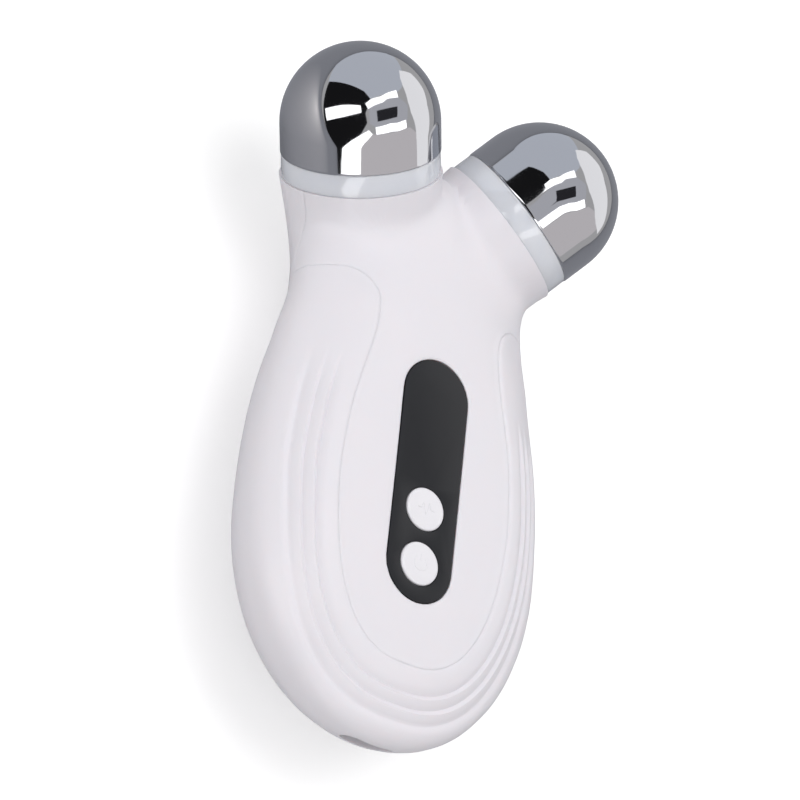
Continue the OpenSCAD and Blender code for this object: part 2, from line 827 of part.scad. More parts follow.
// A point of a head's own frame, in the body's frame
function from_head(side, p) =
    let (
        q = [p.x * cos(head_splay) + side * p.z * sin(head_splay), p.y,
             p.z * cos(head_splay) - side * p.x * sin(head_splay)],
        c = sin(head_lean),
        s = cos(head_lean)
    )
    head_pivot + [q.x, q.y * c + q.z * s, q.z * c - q.y * s];

function bezier(a, b, c, d, t) =
    let (w = 1 - t) w * w * w * a + 3 * w * w * t * b + 3 * w * t * t * c + t * t * t * d;

// A wire along a smooth path, whose ends lie flat on what they meet
module wire(a, b, c, d, steps = 10, sides = 8) {
    path = [for (i = [0:steps]) bezier(a, b, c, d, i / steps)];
    rings = [
        for (i = [0:steps])
            let (
                along = i == 0 ? unit(b - a) : i == steps ? unit(d - c) : unit(path[i + 1] - path[i - 1]),
                u = unit(cross(along, [0.31, 0.9, 0.3])),
                v = cross(along, u)
            )
            each [for (k = [0:sides - 1]) path[i] + wire_r * (cos(360 * k / sides) * u + sin(360 * k / sides) * v)]
    ];
    tube(rings, sides);
}

// The lead from the board to one head's solder tag
module lead(side) {
    start = [side * lead_x, board_top_y - lead_inset, board_z];
    end = from_head(side, [0, -terminal_reach, terminal_h]);
    color([0.75, 0.2, 0.2])
        wire(start, start + [0, 0, lead_rise], end - lead_run * head_axis(side), end);
}

// Two wires from the battery's end, through the tray's notch, up to the board
module battery_leads() {
    color([0.8, 0.15, 0.12]) for (s = SIDES) {
        start = [s * pair_x, battery_y + battery_len / 2, battery_z + battery_t / 2];
        end = [start.x, start.y + notch_run, board_back];
        wire(start, start + [0, pair_run, 0], end - [0, 0, 3], end);
    }
}

front_cover();
rear_shell();
display_window();
window_gasket();
button(button_ys[0]);  // mode_button
button(button_ys[1]);  // power_button
plunger(button_ys[0]);  // mode_plunger
plunger(button_ys[1]);  // power_plunger
tact_switch(button_ys[0]);  // mode_switch
tact_switch(button_ys[1]);  // power_switch
light_guide();
indicator_leds();
main_board();
control_chip();
boost_coil();
usb_socket();
battery();
battery_foam();
battery_tray();
battery_leads();
board_screws();
electrode(-1);  // left_electrode
electrode(1);  // right_electrode
collar(-1);  // left_collar
collar(1);  // right_collar
core(-1);  // left_core
core(1);  // right_core
electrode_screws();
contact_terminals();
lead(-1);  // left_lead
lead(1);  // right_lead
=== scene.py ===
import math

import bmesh
import bpy
import numpy as np
from mathutils import Matrix, Vector


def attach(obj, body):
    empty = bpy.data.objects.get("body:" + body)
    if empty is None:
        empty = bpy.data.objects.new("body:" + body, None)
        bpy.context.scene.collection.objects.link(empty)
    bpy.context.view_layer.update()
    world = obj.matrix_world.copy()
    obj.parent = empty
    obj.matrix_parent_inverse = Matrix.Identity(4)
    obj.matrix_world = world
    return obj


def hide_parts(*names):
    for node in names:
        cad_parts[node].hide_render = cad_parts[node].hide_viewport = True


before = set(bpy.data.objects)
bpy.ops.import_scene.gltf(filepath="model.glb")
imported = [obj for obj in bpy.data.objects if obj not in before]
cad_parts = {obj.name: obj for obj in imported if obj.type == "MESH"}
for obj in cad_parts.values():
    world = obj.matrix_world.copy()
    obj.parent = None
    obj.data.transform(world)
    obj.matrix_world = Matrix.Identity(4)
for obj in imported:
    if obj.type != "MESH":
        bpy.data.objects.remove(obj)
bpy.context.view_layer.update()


# ---------------------------------------------------------------------------
# Front cover and rear shell. Two satin ABS mouldings of one blended form: an
# egg-shaped grip that runs out into two necks. They meet flush along the cover
# line, where the rear shell then swells into the proud, ribbed grip; the cover
# snaps onto the battery tray's rim.

body_half_w, body_tail, body_nose, widest_y = 25.65, 43.25, 39.0, -9.1
front_z, waist_z, waist_fall = 29.6, 20.0, 0.06
back_depth, back_fall, rest_edge = 21.6, 0.043, 1.0
tail_square, nose_square, back_square = 2.03, 2.27, 1.72
front_square, side_square = 3.6, 2.34
head_pivot = np.array([0.0, 30.0, 7.0])
head_splay, head_lean = math.radians(30), math.radians(40)
neck_len, neck_waist_r, neck_rim_r, neck_overrun = 27.0, 10.65, 12.75, 12.0
back_blend, front_blend, blend_from, blend_to = 10.0, 18.5, 0.53, 1.25
back_crotch, front_crotch, crotch_from, crotch_to = 7.0, 12.0, 0.7, 1.05
cover_half_w, cover_tail, cover_neck_w, cover_square, cover_waist = 15.75, 32.2, 11.3, 2.56, 0.6
cover_turn_y, cover_turn_r, part_slope = 29.2, 5.5, 0.414
tail_pull, neck_pull, line_end_x, port_stretch = 1.35, 1.8, 60.0, 0.15
waist_in_y, waist_in_len, waist_out_y, waist_out_len = -7, 11, 18, 12
grip_proud, swell_from, swell_to, shell_wall = 0.35, -1.3, 0.9, 1.8
flush_y, flush_y_len, flush_x, flush_x_len, swell_end_y, swell_end_len = -9, 7, 11, 6, 1, 3
groove_first, groove_pitch, groove_count, groove_depth = 3.4, 1.78, 3, 0.44
seam_gap, edge_soft, edge_w = 0.022, 0.13, 0.42
window_len, window_w, window_y = 39.7, 11.9, -2.5
port_w, port_h, port_z, slot_wall = 9.0, 3.9, 20.3, 0.4
front_low, front_high, rest_depth, rest_fade = 8, 22, 0.05, 2.5
rib_rise, rib_fall, groove_end_y, groove_fade = 0.22, 1.7, 6, 9
groove_low_z, groove_rise, drawn_low_z = 14, 4, 13
rear_low_z = waist_z - 7
cast_eye, cast_reach = np.array([0.0, 30.0, 10.0]), 100.0
form_stations, form_rows, slope_probe = 130, 116, 0.05
smooth_angle, speck, groove_share = math.radians(38), 0.008, (0, 0.06, 0.12, 0.22, 0.4, 0.62, 0.82)

head_axis = {
    side: np.array([
        side * math.sin(head_splay),
        math.cos(head_splay) * math.cos(head_lean),
        math.cos(head_splay) * math.sin(head_lean),
    ])
    for side in (-1, 1)
}


def ease(t):
    c = np.clip(t, 0, 1)
    return c * c * (3 - 2 * c)


def soft_min(a, b, width):
    h = np.maximum(width - abs(a - b), 0) / width
    return np.minimum(a, b) - h * h * width / 4


def egg(p):
    x, y, z = abs(p[..., 0]), p[..., 1], p[..., 2]
    mid = waist_z - waist_fall * y
    ahead = y - widest_y
    reach = np.where(ahead < 0, body_tail + widest_y, body_nose - widest_y)
    n = np.where(ahead < 0, tail_square, nose_square)
    depth = np.where(z > mid, front_z - mid, back_depth - back_fall * y)
    plan = ((x / body_half_w) ** n + (abs(ahead) / reach) ** n) ** (1 / n)
    front = front_square + (side_square - front_square) * ease((plan - 0.5) / 0.45)
    m = np.where(z > mid, front, back_square)
    full = (plan ** m + (abs(z - mid) / depth) ** m) ** (1 / m)
    return np.sqrt(x * x + y * y + (z - mid) ** 2) * (1 - 1 / np.maximum(full, 0.001))


def neck(p, side):
    q = p - head_pivot
    h = q @ head_axis[side]
    r = neck_waist_r + (neck_rim_r - neck_waist_r) * np.clip(h / neck_len, 0, 1) ** 2
    beside = np.linalg.norm(q - h[..., None] * head_axis[side], axis=-1) - r
    return np.where(
        h < 0, np.linalg.norm(q, axis=-1) - neck_waist_r,
        np.maximum(beside, h - neck_len - neck_overrun),
    )


def skin(p):
    """Distance of points outside the blended form, in millimetres."""
    h = np.maximum((p - head_pivot) @ head_axis[-1], (p - head_pivot) @ head_axis[1])
    front = ease((p[..., 2] - front_low) / (front_high - front_low))
    crotch = back_crotch + (front_crotch - back_crotch) * front
    crotch *= 1 - ease((h / neck_len - crotch_from) / (crotch_to - crotch_from))
    necks = soft_min(neck(p, -1), neck(p, 1), np.maximum(crotch, 0.01))
    blend = back_blend + (front_blend - back_blend) * front
    blend *= 1 - ease((h / neck_len - blend_from) / (blend_to - blend_from))
    whole = soft_min(egg(p), necks, np.maximum(blend, 0.01))
    return -soft_min(-whole, p[..., 2] + rest_depth, rest_edge)


def skin_slope(p):
    """Gradient of the distance, and its length."""
    steps = np.eye(3) * slope_probe
    g = np.stack([skin(p + s) - skin(p - s) for s in steps], axis=-1) / (2 * slope_probe)
    return g, np.maximum(np.linalg.norm(g, axis=-1, keepdims=True), 1e-6)


def cast(direction, steps=20):
    """Where rays from the eye meet the form."""
    near = np.zeros(direction.shape[:-1])
    far = np.full_like(near, cast_reach)
    for _ in range(steps):
        mid = (near + far) / 2
        inside = skin(cast_eye + mid[..., None] * direction) < 0
        near, far = np.where(inside, mid, near), np.where(inside, far, mid)
    return cast_eye + ((near + far) / 2)[..., None] * direction


def cover_line():
    """Right half of the cover's line in plan, from the port end outwards."""
    line = []
    for t in np.linspace(0, 1, 97):
        if t < 0.5:
            a = math.pi * t
            line.append((cover_half_w * math.sin(a) ** (2 / cover_square),
                         -cover_tail * math.cos(a) ** (2 / cover_square)))
        else:
            u = 2 * t - 1
            w = 1 - u
            end = cover_turn_y - cover_turn_r
            line.append((
                cover_half_w * (w ** 3 + 3 * w * w * u) + cover_neck_w * (3 * w * u * u + u ** 3),
                end * (tail_pull * w * w * u + neck_pull * w * u * u + u ** 3),
            ))
    for a in np.radians(np.arange(84, -1, -6)):
        line.append((cover_neck_w + cover_turn_r * (1 - math.sin(a)),
                     cover_turn_y - cover_turn_r * (1 - math.cos(a))))
    line.append((line_end_x, cover_turn_y))
    line = np.array(line)
    y = line[:, 1]
    drawn_in = ease((y - waist_in_y) / waist_in_len) * ease((waist_out_y - y) / waist_out_len)
    line[:, 0] -= cover_waist * drawn_in
    return line


line_plan = cover_line()


def beyond_line(p):
    """Distance of points of the skin outside the cover's line, negative on the cover."""
    q = np.stack([abs(p[..., 0]), p[..., 1]], axis=-1)
    a, b = line_plan[:-1], line_plan[1:]
    nearest = np.full(q.shape[:-1], 1e9)
    offset = np.zeros(q.shape)
    crossings = np.zeros(q.shape[:-1], int)
    for s, e in zip(a, b):
        run = e - s
        t = np.clip(((q - s) @ run) / (run @ run), 0, 1)
        v = q - (s + t[..., None] * run)
        d = np.linalg.norm(v, axis=-1)
        offset = np.where((d < nearest)[..., None], v, offset)
        nearest = np.minimum(nearest, d)
        spans = (s[1] <= q[..., 1]) != (e[1] <= q[..., 1])
        if e[1] != s[1]:
            x_at = s[0] + (q[..., 1] - s[1]) * run[0] / run[1]
            crossings += spans & (x_at > q[..., 0])
    inside = (crossings % 2 == 1) | (q[..., 1] >= cover_turn_y)
    stretch = 1 + port_stretch * (offset[..., 1] / np.maximum(nearest, 1e-9)) ** 2 * (q[..., 1] < 0)
    plan = np.where(inside, -nearest, nearest / stretch)
    axis = head_axis[1]
    slope_y = (axis[2] - part_slope * axis[0]) / axis[1]
    face = head_pivot[2] + slope_y * (p[..., 1] - head_pivot[1]) + part_slope * q[..., 0]
    below = (face - p[..., 2]) / math.sqrt(1 + slope_y ** 2 + part_slope ** 2)
    return np.maximum(np.maximum(plan, below), rear_low_z - p[..., 2])


def swell(p, d):
    """The rise of both mouldings, across the line, to the proud face of the grip."""
    ahead = p[..., 1] - cover_turn_y
    at_neck = ease((ahead - flush_y) / flush_y_len) * ease((abs(p[..., 0]) - flush_x) / flush_x_len)
    proud = grip_proud * (1 - at_neck) * (1 - ease((ahead - swell_end_y) / swell_end_len))
    return proud * ease((d - swell_from) / (swell_to - swell_from))


def grip_height(p, d):
    """Height of the rear shell's face over the form, at points a distance d outside the line."""
    u = (d - groove_first) / groove_pitch
    f = np.where(u < 0, 1 + u, u - np.floor(u))
    fall = np.maximum(f - rib_rise, 0) / (1 - rib_rise)
    rib = np.where(f < rib_rise, ease(f / rib_rise), 1 - fall ** rib_fall)
    rib = np.where(u >= groove_count - 1, ease((u - groove_count + 1) / 0.4), rib)
    rib = np.where(u < -0.7, 1, rib)
    fade = 1 - ease((p[..., 1] - groove_end_y) / groove_fade)
    fade *= ease((p[..., 2] - groove_low_z) / groove_rise)
    soft_edge = edge_soft * np.clip(1 - d / edge_w, 0, 1) ** 2
    return swell(p, d) - groove_depth * (1 - rib) * fade - soft_edge


def cover_height(p, d):
    """The cover rises to the grip, and turns down a little at its edge."""
    return swell(p, d) - edge_soft * np.clip(1 + (d + seam_gap) / edge_w, 0, 1) ** 2


def meridian_ray(theta, v):
    """Directions from the eye; theta turns from the port round to the necks."""
    out = np.stack([np.sin(theta), -np.cos(theta), np.zeros_like(theta)], axis=-1)
    level = cast(out)
    reach = np.linalg.norm((level - cast_eye)[..., :2], axis=-1)
    rise = np.where(v > 0, np.sin(np.maximum(v, 0)) ** 0.75 * (front_z - waist_z),
                    np.sin(v) * (waist_z + 1.6))
    flat = reach * np.maximum(np.cos(v), 0) ** 0.8
    d = out * flat[..., None]
    d[..., 2] = waist_z - cast_eye[2] + rise
    return d / np.linalg.norm(d, axis=-1, keepdims=True)


def form_half(stations, rows):
    """The right half of the form as an even grid, from the front's pole to the back's."""
    theta = np.linspace(0, math.pi, 181)
    level = cast(np.stack([np.sin(theta), -np.cos(theta), 0 * theta], axis=-1))
    pace = np.minimum(np.linalg.norm(np.diff(level, axis=0), axis=1), 1.6)
    run = np.concatenate([[0], np.cumsum(pace)])
    theta = np.interp(np.linspace(0, run[-1], stations + 1), run, theta)
    v = np.radians(np.linspace(90, -90, 241))
    grid_t, grid_v = np.meshgrid(theta, v, indexing="ij")
    p = cast(meridian_ray(grid_t, grid_v), 16)
    length = np.cumsum(np.linalg.norm(np.diff(p, axis=1), axis=2), axis=1)
    length = np.concatenate([np.zeros((stations + 1, 1)), length], axis=1)
    grid_v = np.stack([np.interp(np.linspace(0, s[-1], rows + 1), s, v) for s in length])
    p = cast(meridian_ray(np.repeat(theta[:, None], rows + 1, axis=1), grid_v), 26)
    p[0, :, 0] = p[-1, :, 0] = 0
    p[:, 0], p[:, -1] = p[0, 0], p[0, -1]
    bm = bmesh.new()
    bmesh.ops.create_grid(bm, x_segments=stations, y_segments=rows, size=1)
    for v in bm.verts:
        v.co = p[round((v.co.x + 1) / 2 * stations), round((v.co.y + 1) / 2 * rows)]
    bmesh.ops.remove_doubles(bm, verts=bm.verts, dist=1e-4)
    return bm


def draw_line(bm, layer, level, lowest=-1):
    """Runs a line of edges through the skin where a layer has one value."""
    value, held = bm.verts.layers.float[layer], bm.verts.layers.int["held"]
    for e in bm.edges[:]:
        a, b = e.verts
        fa, fb = a[value] - level, b[value] - level
        if fa * fb >= 0 or max(abs(fa), abs(fb)) > 5 or min(a.co.z, b.co.z) < lowest:
            continue
        t = fa / (fa - fb)
        if t > 0.5:
            a, b, t = b, a, 1 - t
        if t < 0.22 and not a[held] and (a.co.x > 1e-4 or b.co.x < 1e-4):
            a.co = a.co.lerp(b.co, t)
            on = a
        else:
            on = bmesh.utils.edge_split(e, a, t)[1]
        on[value], on[held] = level, 1
    on_line = [v for v in bm.verts if abs(v[value] - level) < 1e-5 and v[held]]
    bmesh.ops.connect_verts(bm, verts=on_line)


def moulding(form, height, first, last):
    """The part of the form between two distances beyond the line, raised to its own face."""
    bm = form.copy()
    beyond, held = bm.verts.layers.float["beyond"], bm.verts.layers.int["held"]
    away = []
    for f in bm.faces:
        d = [v[beyond] for v in f.verts]
        if min(d) < first - 1e-5 or max(d) > last + 1e-5:
            away.append(f)
    bmesh.ops.delete(bm, geom=away, context="FACES")
    p = np.array([v.co for v in bm.verts])
    d = np.array([v[beyond] for v in bm.verts])
    fixed = np.array([v[held] for v in bm.verts])
    d = np.where(fixed == 1, d, beyond_line(p))
    off_rest = ease((p[:, 2] + rest_depth) / rest_fade)
    slope, steep = skin_slope(p)
    p = p + slope / steep * (height(p, d) * off_rest)[:, None]
    p[:, 2] = np.maximum(p[:, 2], 0)
    for v, q in zip(bm.verts, p):
        v.co = q
    bmesh.ops.bisect_plane(
        bm, geom=bm.verts[:] + bm.edges[:] + bm.faces[:], dist=1e-4, clear_outer=True,
        plane_co=Vector(head_pivot + neck_len * head_axis[1]), plane_no=Vector(head_axis[1]),
    )
    bmesh.ops.dissolve_degenerate(bm, dist=speck, edges=bm.edges[:])
    bmesh.ops.mirror(bm, geom=bm.verts[:] + bm.edges[:] + bm.faces[:], merge_dist=0.002, axis="X")
    bmesh.ops.recalc_face_normals(bm, faces=bm.faces)
    side = max(bm.faces, key=lambda f: f.calc_center_median().x)
    if side.normal.x < 0:
        bmesh.ops.reverse_faces(bm, faces=bm.faces)
    return bm


def cut_slot(bm, middle, along, out, length, width, roll, deep):
    """Opens a round-ended slot in the open skin, and rolls its edge in."""
    slot = bm.verts.layers.float.new("slot")
    across, straight = np.cross(out, along), (length - width) / 2
    q = np.array([v.co for v in bm.verts]) - middle
    spare = np.hypot(np.maximum(abs(q @ along) - straight, 0), q @ across) - width / 2
    for v, d, h in zip(bm.verts, spare, q @ out):
        v[slot] = d if h > -6 else 100.0
    for away, _ in roll:
        draw_line(bm, "slot", away)
    edge_at = roll[-1][0]
    gone = [f for f in bm.faces if max(v[slot] for v in f.verts) < edge_at + 1e-4]
    bmesh.ops.delete(bm, geom=gone, context="FACES")
    steps, drops = [a for a, _ in reversed(roll)], [d for _, d in reversed(roll)]
    for v in bm.verts:
        if v[slot] < roll[0][0]:
            v.co -= Vector(out) * float(np.interp(v[slot], steps, drops))
    edge = [e for e in bm.edges if e.is_boundary and max(v[slot] for v in e.verts) < edge_at + 0.01]
    made = bmesh.ops.extrude_edge_only(bm, edges=edge)["geom"]
    bmesh.ops.translate(bm, vec=-Vector(out) * deep,
                        verts=[g for g in made if isinstance(g, bmesh.types.BMVert)])
    bmesh.ops.dissolve_degenerate(bm, dist=speck, edges=bm.edges[:])


def give_wall(bm):
    """Closes the open skin with an inner face, one wall below it."""
    made = bmesh.ops.extrude_face_region(bm, geom=bm.faces[:], use_keep_orig=True)
    inner = [g for g in made["geom"] if isinstance(g, bmesh.types.BMVert)]
    p = np.array([v.co for v in inner])
    slope, steep = skin_slope(p)
    sunk = p - slope / steep * shell_wall
    sunk[:, 2] = np.maximum(sunk[:, 2], shell_wall)
    axis = head_axis[1] * np.stack([np.sign(p[:, 0]), 1 + 0 * p[:, 0], 1 + 0 * p[:, 0]], axis=1)
    h = np.sum((p - head_pivot) * axis, axis=1)
    risen = np.sum((sunk - p) * axis, axis=1) * ease((h - neck_len + 4) / 3.5)
    p = sunk - axis * risen[:, None]
    for v, q in zip(inner, p):
        v.co = q
    bmesh.ops.recalc_face_normals(bm, faces=bm.faces)


def scene_piece(bm, name, material, body, node):
    """Makes a finished bmesh, drawn in millimetres, a piece that stands for its node."""
    for e in bm.edges:
        e.smooth = e.calc_face_angle(0) < smooth_angle
    for f in bm.faces:
        f.smooth = True
    bmesh.ops.scale(bm, vec=(0.001,) * 3, verts=bm.verts)
    mesh = bpy.data.meshes.new(name)
    bm.to_mesh(mesh)
    bm.free()
    mesh.materials.append(material)
    piece = bpy.data.objects.new(name, mesh)
    bpy.context.scene.collection.objects.link(piece)
    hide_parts(node)
    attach(piece, body)


def material_nodes(name):
    material = bpy.data.materials.new(name)
    material.use_nodes = True
    nodes = material.node_tree.nodes
    return material, nodes, material.node_tree.links, nodes["Principled BSDF"]


def moulded_finish():
    """Node group: the clouding, gloss variation and spark-eroded grain of a moulding."""
    group = bpy.data.node_groups.new("moulded_finish", "ShaderNodeTree")
    face = group.interface
    for name, kind in (("Colour", "NodeSocketColor"), ("Cloud Colour", "NodeSocketColor"),
                       ("Cloud Size", "NodeSocketFloat"), ("Grain Size", "NodeSocketFloat"),
                       ("Roughness", "NodeSocketFloat"), ("Roughness Spread", "NodeSocketFloat")):
        face.new_socket(name=name, in_out="INPUT", socket_type=kind)
    for name, kind in (("Colour", "NodeSocketColor"), ("Roughness", "NodeSocketFloat"),
                       ("Height", "NodeSocketFloat")):
        face.new_socket(name=name, in_out="OUTPUT", socket_type=kind)
    n, link = group.nodes, group.links.new
    given, out = n.new("NodeGroupInput"), n.new("NodeGroupOutput")
    place = n.new("ShaderNodeTexCoord")
    cloud, grain, smear = (n.new("ShaderNodeTexNoise") for _ in range(3))
    cloud.inputs["Detail"].default_value = 3
    grain.inputs["Detail"].default_value = 2
    smear.inputs["Detail"].default_value = 4
    link(place.outputs["Object"], cloud.inputs["Vector"])
    link(place.outputs["Object"], grain.inputs["Vector"])
    link(place.outputs["Object"], smear.inputs["Vector"])
    for size, noise, times in (("Cloud Size", cloud, 1.0), ("Grain Size", grain, 1.0),
                               ("Cloud Size", smear, 0.35)):
        scale = n.new("ShaderNodeMath")
        scale.operation = "DIVIDE"
        scale.inputs[0].default_value = 1.0 / times
        link(given.outputs[size], scale.inputs[1])
        link(scale.outputs[0], noise.inputs["Scale"])
    soft = n.new("ShaderNodeMapRange")
    soft.inputs["From Min"].default_value = 0.35
    soft.inputs["From Max"].default_value = 0.68
    link(cloud.outputs["Fac"], soft.inputs["Value"])
    mix = n.new("ShaderNodeMix")
    mix.data_type = "RGBA"
    link(soft.outputs["Result"], mix.inputs["Factor"])
    link(given.outputs["Colour"], mix.inputs["A"])
    link(given.outputs["Cloud Colour"], mix.inputs["B"])
    link(mix.outputs["Result"], out.inputs["Colour"])
    centred = n.new("ShaderNodeMath")
    centred.operation = "SUBTRACT"
    centred.inputs[1].default_value = 0.5
    link(smear.outputs["Fac"], centred.inputs[0])
    rough = n.new("ShaderNodeMath")
    rough.operation = "MULTIPLY_ADD"
    link(centred.outputs[0], rough.inputs[0])
    link(given.outputs["Roughness Spread"], rough.inputs[1])
    link(given.outputs["Roughness"], rough.inputs[2])
    link(rough.outputs[0], out.inputs["Roughness"])
    link(grain.outputs["Fac"], out.inputs["Height"])
    return group


moulded_group = moulded_finish()


def moulded_material(name, colour, cloud_colour, cloud_mm, grain_mm, roughness, spread, bump):
    material, nodes, links, shader = material_nodes(name)
    finish = nodes.new("ShaderNodeGroup")
    finish.node_tree = moulded_group
    for socket, value in (("Colour", (*colour, 1)), ("Cloud Colour", (*cloud_colour, 1)),
                          ("Cloud Size", cloud_mm / 1000), ("Grain Size", grain_mm / 1000),
                          ("Roughness", roughness), ("Roughness Spread", spread)):
        finish.inputs[socket].default_value = value
    grain = nodes.new("ShaderNodeBump")
    grain.inputs["Strength"].default_value = bump
    grain.inputs["Distance"].default_value = grain_mm / 4000
    links.new(finish.outputs["Colour"], shader.inputs["Base Color"])
    links.new(finish.outputs["Roughness"], shader.inputs["Roughness"])
    links.new(finish.outputs["Height"], grain.inputs["Height"])
    links.new(grain.outputs["Normal"], shader.inputs["Normal"])
    return material, shader


shell_plastic, shader = moulded_material(
    "satin_shell", (0.765, 0.742, 0.785), (0.78, 0.75, 0.79), 16, 0.11, 0.42, 0.06, 0.12)
shader.inputs["Subsurface Weight"].default_value = 0.12
shader.inputs["Subsurface Radius"].default_value = (1.0, 0.6, 0.5)
shader.inputs["Subsurface Scale"].default_value = 0.0015
shader.inputs["Specular IOR Level"].default_value = 0.45

form = form_half(form_stations, form_rows)
beyond, held = form.verts.layers.float.new("beyond"), form.verts.layers.int.new("held")
for v, d in zip(form.verts, beyond_line(np.array([v.co for v in form.verts]))):
    v[beyond] = d
cover_levels = (0, -seam_gap, -0.1, -0.22, -0.36, -0.6, -0.95, -1.3)
grip_levels = (0.08, 0.2, 0.34, 0.52, 0.7, 0.9, 1.3)
for level in cover_levels + grip_levels:
    draw_line(form, "beyond", level)
for groove in range(groove_count):
    for share in groove_share:
        draw_line(form, "beyond", groove_first + groove_pitch * (groove + share), drawn_low_z)
for share in (-0.7, -0.45, -0.25, -0.1):
    draw_line(form, "beyond", groove_first + groove_pitch * share, drawn_low_z)
away = np.array([v.co for v in form.verts]) - cast_eye
on_form = cast(away / np.linalg.norm(away, axis=1, keepdims=True), 26)
for v, q in zip(form.verts, on_form):
    v.co = (0 if v.co.x < 1e-4 else q[0], q[1], q[2])

cover_skin = moulding(form, cover_height, -100, -seam_gap)
window_roll = ((0.75, 0), (0.55, 0.02), (0.38, 0.06), (0.24, 0.12), (0.12, 0.22))
cut_slot(cover_skin, np.array((0, window_y, front_z)), np.array((0, 1.0, 0)), np.array((0, 0, 1.0)),
         window_len, window_w, window_roll, slot_wall)
give_wall(cover_skin)
scene_piece(cover_skin, "front_cover_moulding", shell_plastic, "housing", "front_cover")

rear_skin = moulding(form, grip_height, 0, 100)
port_roll = ((0.3, 0), (0.18, 0.04), (0.08, 0.11), (0.04, 0.2))
cut_slot(rear_skin, np.array((0, -body_tail, port_z)), np.array((1.0, 0, 0)), np.array((0, -1.0, 0)),
         port_w, port_h, port_roll, slot_wall)
give_wall(rear_skin)
scene_piece(rear_skin, "rear_shell_moulding", shell_plastic, "housing", "rear_shell")


# ---------------------------------------------------------------------------
# Display window. A charcoal acrylic pane with polished edges, glued into the
# cover's ledge on a die-cut foam gasket; the two buttons come up through it.

window_top, window_t, pane_bevel = 29.4, 1.2, 0.12
button_ys, button_r, button_gap = (-7.3, -16.2), 3.4, 0.1


def stadium_ring(bm, length, width, z, y):
    made = bmesh.ops.create_circle(bm, segments=96, radius=width / 2, cap_ends=False)
    for v in made["verts"]:
        v.co.y += math.copysign((length - width) / 2, v.co.y) if abs(v.co.y) > 1e-6 else 0
        v.co += Vector((0, y, z))


pane_plastic, shader = moulded_material(
    "charcoal_pane", (0.006, 0.0063, 0.009), (0.0075, 0.008, 0.0105), 9, 0.05, 0.34, 0.1, 0.05)
shader.inputs["Specular IOR Level"].default_value = 0.32

pane = bmesh.new()
stadium_ring(pane, window_len - 0.04, window_w - 0.04, window_top, window_y)
for y in button_ys:
    hole = bmesh.ops.create_circle(pane, segments=72, radius=button_r + button_gap, cap_ends=False)
    bmesh.ops.translate(pane, vec=(0, y, window_top), verts=hole["verts"])
bmesh.ops.triangle_fill(pane, edges=pane.edges[:], use_beauty=True, normal=(0, 0, 1))
if pane.faces[:][0].normal.z < 0:
    bmesh.ops.reverse_faces(pane, faces=pane.faces)
sheet = bmesh.ops.extrude_face_region(pane, geom=pane.faces[:])
bmesh.ops.translate(pane, vec=(0, 0, -window_t),
                    verts=[g for g in sheet["geom"] if isinstance(g, bmesh.types.BMVert)])
bmesh.ops.recalc_face_normals(pane, faces=pane.faces)
rim = [e for e in pane.edges if e.calc_face_angle(0) > math.radians(60)
       and all(abs(v.co.z - window_top) < 1e-4 for v in e.verts)]
bmesh.ops.bevel(pane, geom=rim, offset=pane_bevel, segments=3, profile=0.5, affect="EDGES", material=-1)
scene_piece(pane, "window_pane", pane_plastic, "housing", "display_window")


# ---------------------------------------------------------------------------
# Buttons. Pearl white caps with a soft crown, a flange behind the window that
# holds them in, and a stem that presses a switch. A waveform and a power sign
# stand very faintly on their faces.

button_top, button_flange_r, button_flange_z, button_flange_t = 29.75, 4.2, 27.9, 0.7
button_stem_r, button_stem_z, sign_proud, sign_line = 1.25, 23.4, 0.06, 0.24
crown_r, crown_drop, button_edge, button_edge_z = 2.95, 0.10, 0.3, 0.42

pearl_plastic, shader = moulded_material(
    "pearl_button", (0.80, 0.785, 0.82), (0.79, 0.775, 0.815), 3, 0.06, 0.3, 0.06, 0.03)
shader.inputs["Coat Weight"].default_value = 0.3
shader.inputs["Coat Roughness"].default_value = 0.15


def turned(bm, profile, steps, place=Matrix()):
    """Spins a profile of (radius, height) points into a closed round form."""
    first = [bm.verts.new((r, 0, z)) for r, z in profile]
    edges = [bm.edges.new(pair) for pair in zip(first, first[1:])]
    bmesh.ops.spin(bm, geom=first + edges, axis=(0, 0, 1), cent=(0, 0, 0),
                   angle=2 * math.pi, steps=steps, use_merge=True)
    bmesh.ops.remove_doubles(bm, verts=bm.verts, dist=1e-4)
    bmesh.ops.recalc_face_normals(bm, faces=bm.faces)
    bmesh.ops.transform(bm, matrix=place, verts=bm.verts)


def rounded(corners, radii, segments=4):
    """The profile through corners, each rounded off by its radius, with 0 at both ends."""
    out = []
    for k, (r, z) in enumerate(corners):
        size = radii[k]
        if not size:
            out.append((r, z))
            continue
        here = Vector((r, z))
        to_a, to_b = (Vector(corners[k - 1]) - here), (Vector(corners[k + 1]) - here)
        size = min(size, 0.49 * to_a.length, 0.49 * to_b.length)
        a, b = here + to_a.normalized() * size, here + to_b.normalized() * size
        for i in range(segments + 1):
            t = i / segments
            q = a * (1 - t) ** 2 + here * 2 * t * (1 - t) + b * t * t
            out.append((q.x, q.y))
    return out


